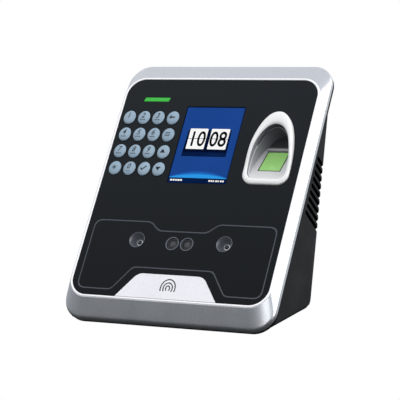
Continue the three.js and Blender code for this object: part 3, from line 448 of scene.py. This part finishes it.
def painted_light_faces(thing, material, first, last):
    """Gives the faces numbered from first up to last a second material; here that lays painted light on
    them: the lip's painted highlight and the painted shade on the key sides and the recess wall.
    """
    thing.data.materials.append(material)
    for face in thing.data.polygons:
        if first <= face.index < last:
            face.material_index = 1


def refined(node, material, bevel=0.0002, body="terminal", smooth=32):
    """A CAD node with its flat facets joined, its sharp edges rounded off and its curves shaded smooth."""
    made = bmesh.new()
    made.from_mesh(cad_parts[node].data)
    bmesh.ops.remove_doubles(made, verts=made.verts, dist=1e-6)
    bmesh.ops.dissolve_limit(made, angle_limit=math.radians(0.6), verts=made.verts, edges=made.edges)
    if bevel:
        sharp = [e for e in made.edges
                 if len(e.link_faces) == 2 and e.calc_face_angle(0) > math.radians(40)]
        bmesh.ops.bevel(made, geom=sharp, offset=bevel, segments=2, profile=0.5, affect="EDGES",
                        clamp_overlap=True)
    mesh = bpy.data.meshes.new(node)
    made.to_mesh(mesh)
    made.free()
    return finished(node + "_body", mesh, material, body, [node], smooth, True)


# ---------------------------------------------------------------- silver front bezel


def front_bezel():
    inner = (PANEL_W + GAP, PANEL_H + GAP, PANEL_R + GAP)
    lip = (inner[0] + 1.4, inner[1] + 1.4, inner[2] + 1.4)
    rim = (RIM_W, RIM_H, RIM_R)

    def between(a, b, t):
        return tuple(a[k] * (1 - t) + b[k] * t for k in range(3))

    def moved(size, by):
        return tuple(s + by for s in size)

    profile = [
        (inner, -2.8), (inner, 0.1), (moved(inner, 0.04), 0.36), (moved(inner, 0.16), 0.5),
        (moved(inner, 0.36), 0.58), (moved(inner, 0.55), 0.6), (moved(lip, -0.5), 0.6),
        (moved(lip, -0.28), 0.55), (moved(lip, -0.1), 0.42), (moved(lip, 0.02), 0.2),
        (moved(lip, 0.04), -0.3), (moved(lip, 0.3), -0.34),
    ]
    shoulder = moved(lip, 0.45)
    edge = (rim, RIM_FRONT)
    for t in (0.0, 0.3, 0.6, 0.78):
        profile.append((between(shoulder, rim, t), -0.05 + (RIM_FRONT + 0.05) * t))
    before = (between(shoulder, rim, 0.84), -0.05 + (RIM_FRONT + 0.05) * 0.84)
    for k in range(1, 8):
        t = k / 8
        a, b, c = (1 - t) ** 2, 2 * t * (1 - t), t * t
        size = tuple(a * before[0][i] + b * edge[0][i] + c * rim[i] for i in range(3))
        profile.append((size, a * before[1] + b * edge[1] + c * (RIM_FRONT - 1.2)))
    profile += [
        (rim, RIM_FRONT - 1.2), (rim, RIM_BACK + 0.15), (moved(rim, -0.15), RIM_BACK),
        (moved(rim, -2), RIM_BACK), (moved(rim, -2.2), RIM_FRONT - 0.9), (moved(lip, -0.6), -4.8),
        (moved(inner, -1.5), -4.8), (moved(inner, -1.5), -2.8),
    ]
    loops = [at_height(rounded(*size, steps=20), z) for size, z in profile]
    shell = piece("front_bezel_shell", skinned(loops, True), SILVER, ["front_bezel"])
    # The lip's faces take the painted highlight.
    lip_start, lip_end = 1, 10
    painted_light_faces(shell, LIP_PAINTED_HIGHLIGHT, lip_start * len(loops[0]), lip_end * len(loops[0]))


def face_panel():
    full = rounded(PANEL_W, PANEL_H, PANEL_R, steps=20)
    wide = grown(BADGE, GAP)
    past_left = wide[0] + (wide[0] - wide[3]) * 0.05
    past_right = wide[1] + (wide[1] - wide[2]) * 0.05
    notch = softened([past_left, wide[3], wide[2], past_right], 4.4)
    per_corner = len(notch) // 4
    on_bottom = [i for i, p in enumerate(full) if p[1] < -PANEL_H + 1e-6]
    outline = []
    for i, p in enumerate(full):
        outline.append(p)
        if i == on_bottom[0]:
            outline += [(wide[0].x, -PANEL_H), *notch[per_corner:3 * per_corner], (wide[1].x, -PANEL_H)]
    keys = [oval(KEY_X + c * KEY_PITCH_X, KEY_Y - r * KEY_PITCH_Y, KEY_W / 2 + GAP, KEY_H / 2 + GAP)
            for r in range(4) for c in range(4)]
    window = rounded(SCREEN_W / 2 + 0.7, SCREEN_H / 2 + 0.7, 0.8, 0, SCREEN_Y, 4)
    upper = [*keys, window, status_line(GAP), arch_line(ARCH_OUTER, GAP)]
    lower = []
    for side in (-1, 1):
        lower.append(oval(side * LAMP_X, LAMP_Y, LAMP_R + 0.1, LAMP_R + 0.1))
        lower.append(oval(side * CAMERA_X, CAMERA_Y, RING_R + 0.25, RING_R + 0.25))
    outside = softened(grown(ZONE, GROOVE_HALF), ZONE_ROUND)
    inside = softened(grown(ZONE, -GROOVE_HALF), [r - 0.4 for r in ZONE_ROUND])
    piece("face_panel_base", plate(outline, upper + lower, -PANEL_T, -GROOVE_DEPTH), GLOSS,
          ["face_panel"])
    skin = joined(plate(outline, [*upper, outside], -GROOVE_DEPTH, 0, 0.1),
                  plate(inside, lower, -GROOVE_DEPTH, 0, 0.1))
    piece("face_panel_gloss", skin, GLOSS)
    piece("zone_groove", plate(outside, [inside], -GROOVE_DEPTH, -0.14), GROOVE)


def status_line(margin):
    x, y, half_w, half_h, slant = -49.35, 69.95, 10.15, 1.55, 0.9
    corners = [(x - half_w - slant, y - half_h), (x + half_w - slant, y - half_h),
               (x + half_w, y + half_h), (x - half_w, y + half_h)]
    return softened(grown(corners, margin), 0.4, 4)


def badge():
    outline = softened(BADGE, [0.6, 0.6, 4.4, 4.4])
    piece("badge_plate_body", plate(outline, [], -PANEL_T, 0.3, 0.15), BADGE_SILVER,
          ["badge_plate"])
    ridges = []
    for rx, ry, start, end in ((1.5, 1.8, -60, 240), (3.5, 4.1, -35, 215), (5.6, 6.6, -20, 200)):
        outer, inner = band(MARK_X, MARK_Y, rx, ry, MARK_WIDTH, start, end, 40)
        ridges.append(plate(outer + inner[::-1], [], 0.295, 0.33))
    piece("badge_mark", joined(*ridges), BADGE_INK)


# ---------------------------------------------------------------- keypad


def dome(s):
    return 0.2 + 1.4 * max(1 - s ** 2.6, 0) ** 0.6


def draped(shape, x, y):
    """A flat legend cut fine and laid on the domed key whose centre is at x, y."""
    stretch = KEY_H / KEY_W
    made = bmesh.new()
    corners = [made.verts.new(p) for p in shape[0]]
    for face in shape[1]:
        made.faces.new([corners[i] for i in face])
    bmesh.ops.triangulate(made, faces=made.faces)
    for _ in range(2):
        long = [e for e in made.edges if e.calc_length() > 0.5]
        bmesh.ops.subdivide_edges(made, edges=long, cuts=2)
        bmesh.ops.triangulate(made, faces=made.faces)
    made.verts.index_update()
    points = []
    for v in made.verts:
        s = math.hypot(v.co.x, v.co.y / stretch) / (KEY_W / 2)
        points.append((x + v.co.x, y + v.co.y, dome(s) + 0.045))
    faces = [[v.index for v in f.verts] for f in made.faces]
    made.free()
    return points, faces


def ring_arc(x, y, rx, ry, width, start, end, steps=20):
    outer, inner = band(x, y, rx, ry, width, start, end, steps)
    faces = [[k, k + 1, steps + 2 + k, steps + 1 + k] for k in range(steps)]
    return at_height(outer + inner, 0), faces


def legend(name):
    marks = {
        "key_escape": [polygon([(-2.4, 0), (-0.6, 1.7), (-0.6, 0.5), (2.3, 0.5), (2.3, -0.5), (-0.6, -0.5),
                                (-0.6, -1.7)])],
        "key_menu": [polygon([(-2.1, y), (2.1, y), (2.1, y + 0.5), (-2.1, y + 0.5)])
                     for y in (-1.5, -0.25, 1)],
        "key_up": [polygon([(-2.1, -1.3), (2.1, -1.3), (0, 1.9)])],
        "key_down": [polygon([(-2.1, 1.3), (0, -1.9), (2.1, 1.3)])],
        "key_enter": [polygon([(-2.4, -0.2), (-1.8, 0.4), (-0.7, -0.7), (2.0, 2.0), (2.6, 1.4),
                               (-0.7, -1.9)])],
    }
    if name in marks:
        return joined(*marks[name])
    if name == "key_star":
        spokes = []
        for k in range(3):
            a = math.pi / 2 + k * math.pi / 3
            d, n = Vector((math.cos(a), math.sin(a))), Vector((-math.sin(a), math.cos(a)))
            spokes.append(polygon([d * 1.9 + n * 0.24, d * 1.9 - n * 0.24, d * -1.9 - n * 0.24,
                                   d * -1.9 + n * 0.24]))
        return joined(*spokes)
    digit = name[-1]
    number = writing(digit, 6.0, -0.3, 1.0, 0.85, 0.25, 0.07)
    if digit == "1":
        return number
    if digit == "0":
        return joined(number, ring_arc(0, -1.9, 1.5, 0.9, 0.35, 190, 350))
    dots = [polygon([(x, -2.7), (x + 0.9, -2.7), (x + 1.05, -1.9), (x + 0.15, -1.9)])
            for x in (-2.0, -0.6, 0.8)]
    return joined(number, *dots)


def keypad():
    stretch = KEY_H / KEY_W
    half = KEY_W / 2
    under = -PANEL_T - GAP
    profile = [(0, -5.2), (1.9, -5.2), (2.2, -4.9), (2.2, under - 1), (half + 0.7, under - 1),
               (half + 0.7, under), (half, under)]
    # These faces are the cap's side wall, which is painted dark as shade round the key's edge.
    painted_shade_start = (len(profile) - 1) * ROUND_STEPS
    painted_shade_end = painted_shade_start + 2 * ROUND_STEPS
    profile.append((half, -0.2))
    for k in range(1, 15):
        s = math.cos(k / 14 * math.pi / 2)
        profile.append((half * s, dome(s)))
    for row, names in enumerate(KEY_ROWS):
        for column, name in enumerate(names):
            x, y = KEY_X + column * KEY_PITCH_X, KEY_Y - row * KEY_PITCH_Y
            cap = piece(name + "_cap", turned(profile, x, y, stretch), KEY_BLUE, [name], name)
            # Painted shade: the cap's side wall takes the dark ink.
            painted_light_faces(cap, KEY_INK_AND_PAINTED_SHADE, painted_shade_start, painted_shade_end)
            piece(name + "_legend", draped(legend(name), x, y), KEY_INK_AND_PAINTED_SHADE, body=name)
    refined("keypad_mat", RUBBER, 0.0001)
    refined("keypad_board", BOARD, 0.0001)


# ---------------------------------------------------------------- screen and status light


def on_screen(u, v):
    """A point of the picture: u across from the left and v down from the top, both 0 to 1."""
    return (u - 0.5) * SCREEN_W, SCREEN_Y + (0.5 - v) * SCREEN_H


def patch(corners, level, thickness=0.03, reach=0.0):
    points = [on_screen(*c) for c in corners][::-1]
    loop = softened(points, reach, 4) if reach else points
    return plate(loop, [], level - thickness, level)


def box_on_screen(u0, u1, v0, v1, level, reach=0.0):
    return patch([(u0, v0), (u1, v0), (u1, v1), (u0, v1)], level, 0.03, reach)


def swell(rise, base):
    """The glow at the foot of the picture: a low arc over a straight line."""
    edge = [(i / 40, base - rise * math.sin(math.pi * i / 40) ** 0.8) for i in range(41)]
    return [*edge, (1, base + 0.005), (0, base + 0.005)]


def display():
    outline = rounded(SCREEN_W / 2 + 0.4, SCREEN_H / 2 + 0.4, 0.5, 0, SCREEN_Y, 4)
    pane = plate(outline, [], -PANEL_T, -0.3, 0.05)
    piece("display_pane", pane, SCREEN_NAVY, ["display_window"])
    piece("picture_sky", box_on_screen(0.0, 1.0, 0.0, 0.94, -0.27), SCREEN_BLUE)
    piece("picture_glow_outer", patch(swell(0.085, 0.935), -0.24), SCREEN_SKY)
    piece("picture_glow_middle", patch(swell(0.064, 0.935), -0.225), SCREEN_AZURE)
    piece("picture_glow_inner", patch(swell(0.044, 0.935), -0.21), SCREEN_CYAN)
    case = [(0.12, 0.3), (0.872, 0.3), (0.885, 0.655), (0.105, 0.655)]
    foot = [(0.115, 0.6), (0.88, 0.6), (0.885, 0.655), (0.105, 0.655)]
    piece("picture_clock_case", patch(case, -0.22, 0.03, 0.8), SCREEN_SHADE)
    piece("picture_clock_foot", patch(foot, -0.2, 0.03, 0.5), SCREEN_NAVY)
    spans = ((0.15, 0.465), (0.525, 0.845))
    cards = [box_on_screen(u0, u1, 0.285, 0.558, -0.17, 0.7) for u0, u1 in spans]
    piece("picture_cards", joined(*cards), SCREEN_WHITE)
    numerals = []
    for text, u in (("10", 0.308), ("08", 0.677)):
        x, y = on_screen(u, 0.432)
        numerals.append(placed(writing(text, 16.8, x, y, 0.8, 0.0, 0.22), z=-0.14))
    folds = [box_on_screen(u0, u1, 0.416, 0.422, -0.155) for u0, u1 in spans]
    piece("picture_numerals", joined(*numerals), SCREEN_INK)
    piece("picture_folds", joined(*folds), SCREEN_SHADE)
    strip = []
    for u0, u1 in ((0.03, 0.07), (0.08, 0.11), (0.12, 0.15), (0.16, 0.2), (0.21, 0.24), (0.7, 0.73),
                   (0.74, 0.77), (0.78, 0.8), (0.82, 0.85), (0.86, 0.88), (0.9, 0.93), (0.94, 0.965)):
        strip.append(box_on_screen(u0, u1, 0.96, 0.982, -0.24))
    piece("picture_strip_marks", joined(*strip), SCREEN_WHITE)
    refined("display_module", STEEL, 0.0002)
    piece("status_light_lens", plate(status_line(0), [], -5.5, 0.05, 0.12), STATUS,
          ["status_light"])


# ---------------------------------------------------------------- fingerprint reader


def smoothstep(x, a, b):
    t = min(max((x - a) / (b - a), 0), 1)
    return t * t * (3 - 2 * t)


def reader():
    outer, inner = arch_line(ARCH_OUTER), arch_line(ARCH_INNER)
    profile = [  # share of the way in, height, and how much of the hood it takes
        (0, -2.5, 0), (0, 0.1, 0.86), (0.01, 0.45, 0.92), (0.05, 0.75, 0.96), (0.12, 0.98, 1),
        (0.25, 1.25, 1), (0.45, 1.48, 1), (0.62, 1.48, 1), (0.78, 1.36, 1), (0.88, 1.15, 0.96),
        (0.95, 0.9, 0.9), (0.99, 0.6, 0.78), (1, 0.3, 0.6), (1, -2.5, 0),
    ]
    loops = []
    for share, height, rise in profile:
        loop = []
        for a, b in zip(outer, inner):
            x, y = a[0] + (b[0] - a[0]) * share, a[1] + (b[1] - a[1]) * share
            loop.append((x, y, height + rise * HOOD_HEIGHT * smoothstep(y, HOOD_FROM, HOOD_TO)))
        loops.append(loop)
    ring = piece("sensor_bezel_ring", skinned(loops, True), RING_SILVER, ["sensor_bezel"],
                 smooth=50)
    # The ring's inner wall takes the recess wall material, whose colour is painted shade, darker towards the
    # top.
    painted_light_faces(ring, TRAY_WALL, (len(profile) - 3) * len(outer), len(profile) * len(outer))
    tilt = Matrix.Translation((ARCH_X, WINDOW_Y, WINDOW_Z)) @ Matrix.Rotation(-WINDOW_TILT, 4, "X")
    tray = refined("finger_tray", TRAY, 0.00025, smooth=38)
    tray.data.materials.append(TRAY_WALL)  # the tray's floor keeps its own material and its walls take this one; both carry painted light and shade by height
    floor_way = ((FACE @ tilt).to_3x3() @ Vector((0, 0, 1))).normalized()
    for face in tray.data.polygons:
        face.material_index = 0 if face.normal.dot(floor_way) > 0.9 else 1
    border = rounded(WINDOW_W, WINDOW_H, 0.5, 0, 0, 4)
    clear = rounded(WINDOW_W - WINDOW_EDGE, WINDOW_H - WINDOW_EDGE, 0.4, 0, 0, 4)
    glass = placed(plate(clear, [], -WINDOW_T, 0, 0.12), matrix=tilt)
    edge = plate(border, [clear], -WINDOW_T, -0.05)
    piece("sensor_window_glass", glass, GREEN, ["sensor_window"])
    piece("sensor_window_edge", placed(edge, matrix=tilt), GREEN_EDGE)
    refined("sensor_module", PLASTIC, 0.0002)


# ---------------------------------------------------------------- lamps and cameras


def lamps_and_cameras():
    base = BOARD_TOP + GAP
    for label, side in (("left", -1), ("right", 1)):
        x = side * LAMP_X
        bowl = [(LAMP_R - 0.2, -LAMP_DEPTH - 1.2), (LAMP_R - 0.2, -0.1), (LAMP_R - 0.28, 0),
                (LAMP_R - 0.5, 0)]
        for k in range(1, 13):
            t = k / 12
            sunk = LAMP_DEPTH * math.sin(t * math.pi / 2) ** 1.1
            bowl.append((LAMP_R - 0.5 - (LAMP_R - 2.3) * t ** 0.85, -sunk))
        bowl += [(1.75, -LAMP_DEPTH - 0.05), (1.7, -LAMP_DEPTH - 1.2)]
        piece("lamp_bowl_" + label, turned(bowl, x, LAMP_Y, around=True), REFLECTOR,
              ["lamp_reflector_" + label])
        led = [(0, base), (2.4, base), (2.4, -6.9), (1.4, -6.9), (1.4, -5.3)]
        for k in range(1, 7):
            a = k / 6 * math.pi / 2
            led.append((1.4 * math.cos(a), -5.3 + 1.1 * math.sin(a)))
        piece("lamp_led_" + label, turned(led, x, LAMP_Y), LED, ["infrared_lamp_" + label])
        # A bright ring at the foot of the bowl: a painted highlight, not a part of the lamp.
        highlight_ring = [(1.5, -LAMP_DEPTH + 0.25), (1.62, -LAMP_DEPTH + 0.4), (2.3, -LAMP_DEPTH + 0.25),
                  (2.4, -LAMP_DEPTH - 0.1), (1.5, -LAMP_DEPTH - 0.1)]
        piece("lamp_highlight_ring_" + label, turned(highlight_ring, x, LAMP_Y, around=True), LAMP_HIGHLIGHT_RING)
        x = side * CAMERA_X
        barrel = [(0, base), (5.2, base), (5.2, -3.2), (LENS_R, -3.2), (LENS_R, -0.9), (LENS_R - 0.2, -0.7),
                  (2.9, -0.75), (2.75, -1.0), (2.75, -1.4), (0, -1.4)]
        piece("camera_barrel_" + label, turned(barrel, x, CAMERA_Y), BARREL,
              ["camera_" + label])
        glass = [(LENS_GLASS_R, -1.35)]
        for k in range(9):
            a = k / 8 * math.pi / 2
            glass.append((LENS_GLASS_R * math.cos(a), -1.3 + 0.75 * math.sin(a)))
        piece("camera_lens_" + label, turned(glass, x, CAMERA_Y), IRIS)
        ring = [(LENS_R + GAP, -PANEL_T), (RING_R, -PANEL_T), (RING_R, 0), (RING_R - 0.1, 0.1),
                (LENS_R + GAP + 0.15, 0.1), (LENS_R + GAP, 0)]
        piece("camera_ring_" + label, turned(ring, x, CAMERA_Y, around=True), RING,
              ["lens_ring_" + label])
    refined("camera_board", BOARD, 0.0001)


# ---------------------------------------------------------------- back, inside and fasteners


def carried_over():
    refined("rear_housing", HOUSING, 0.0004, smooth=40)
    refined("wall_plate", STEEL, 0.0002)
    refined("main_board", BOARD, 0.0001)
    refined("processor", PLASTIC, 0.0003)
    refined("backup_cell", STEEL, 0.0003)
    refined("lock_relay", PLASTIC, 0.0004)
    for node in ("power_terminals", "relay_terminals", "reader_terminals"):
        refined(node, TERMINAL, 0.0002)
    for node in ("network_socket", "usb_socket"):
        refined(node, STEEL, 0.0002)
    refined("speaker", CONE, 0.0002)
    refined("tamper_switch", PLASTIC, 0.0002)
    refined("tamper_plunger", WHITE, 0.0002, body="tamper_plunger")
    screws = [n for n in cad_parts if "screw" in n]
    for node in sorted(screws):
        refined(node, SCREW, 0.00015)


# ---------------------------------------------------------------- floor, light and camera


def floor():
    size, height = 6.0, -0.75
    corners = [(x * size, y * size, height) for x, y in ((-1, -1), (1, -1), (1, 1), (-1, 1))]
    mesh = bpy.data.meshes.new("floor")
    mesh.from_pydata(corners, [], [(0, 1, 2, 3)])
    thing = bpy.data.objects.new("floor", mesh)
    bpy.context.scene.collection.objects.link(thing)
    mesh.materials.append(surface("floor_pale", (0.8, 0.8, 0.8), (0.6, 0.7), 0, 30, 0.02, wear=4))
    thing.visible_diffuse = False
    thing.visible_glossy = False


def studio():
    world = bpy.data.worlds.new("studio")
    bpy.context.scene.world = world
    world.use_nodes = True
    tree = world.node_tree
    sky = tree.nodes["Background"]
    where = tree.nodes.new("ShaderNodeTexCoord")
    split = tree.nodes.new("ShaderNodeSeparateXYZ")
    ramp = tree.nodes.new("ShaderNodeValToRGB")
    level = tree.nodes.new("ShaderNodeMapRange")
    level.inputs["From Min"].default_value = -1
    level.inputs["From Max"].default_value = 1
    tree.links.new(where.outputs["Generated"], split.inputs["Vector"])
    tree.links.new(split.outputs["Z"], level.inputs["Value"])
    tree.links.new(level.outputs["Result"], ramp.inputs["Fac"])
    tree.links.new(ramp.outputs["Color"], sky.inputs["Color"])
    stops = ramp.color_ramp.elements
    stops[0].position = 0.38
    stops[0].color = (0.03, 0.032, 0.034, 1)
    stops[1].position = 0.78
    stops[1].color = (0.88, 0.89, 0.92, 1)
    for position, color in ((0.45, (0.15, 0.16, 0.165, 1)), (0.56, (0.55, 0.57, 0.60, 1)),
                            (0.97, (0.80, 0.82, 0.86, 1))):
        stop = stops.new(position)
        stop.color = color
    plain = tree.nodes.new("ShaderNodeBackground")
    plain.inputs["Color"].default_value = (1, 1, 1, 1)
    ray = tree.nodes.new("ShaderNodeLightPath")
    either = tree.nodes.new("ShaderNodeMixShader")
    tree.links.new(ray.outputs["Is Camera Ray"], either.inputs["Fac"])
    tree.links.new(sky.outputs["Background"], either.inputs[1])
    tree.links.new(plain.outputs["Background"], either.inputs[2])
    tree.links.new(either.outputs["Shader"], tree.nodes["World Output"].inputs["Surface"])


def lamp(name, energy, size, place, target):
    light = bpy.data.lights.new(name, "AREA")
    light.energy = energy
    light.size = size
    thing = bpy.data.objects.new(name, light)
    bpy.context.scene.collection.objects.link(thing)
    thing.location = place
    thing.rotation_mode = "QUATERNION"
    thing.rotation_quaternion = (Vector(place) - Vector(target)).to_track_quat("Z", "Y")
    thing.visible_camera = False


def camera():
    data = bpy.data.cameras.new("camera")
    data.lens = 160.0
    data.sensor_width = 36
    data.clip_start = 0.05
    data.clip_end = 50
    thing = bpy.data.objects.new("camera", data)
    bpy.context.scene.collection.objects.link(thing)
    right = Vector(VIEW_RIGHT).normalized()
    ahead = Vector(VIEW_AHEAD).normalized()
    up = right.cross(ahead).normalized()
    right = ahead.cross(up)
    turn = Matrix((right, up, -ahead)).transposed().to_4x4()
    thing.matrix_world = Matrix.Translation(VIEW_FROM) @ turn
    bpy.context.scene.camera = thing


front_bezel()
face_panel()
badge()
keypad()
display()
reader()
lamps_and_cameras()
carried_over()

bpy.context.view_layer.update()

floor()
studio()
lamp("right_softbox", 40, 2.4, (1.9, 0.3, 0.75), AIM)
lamp("front_softbox", 6, 2.0, (-0.9, -1.8, 1.3), AIM)
lamp("low_right_softbox", 4.5, 1.0, (0.80, -1.72, 0.0), AIM)
camera()
bpy.context.scene.view_settings.view_transform = "Standard"
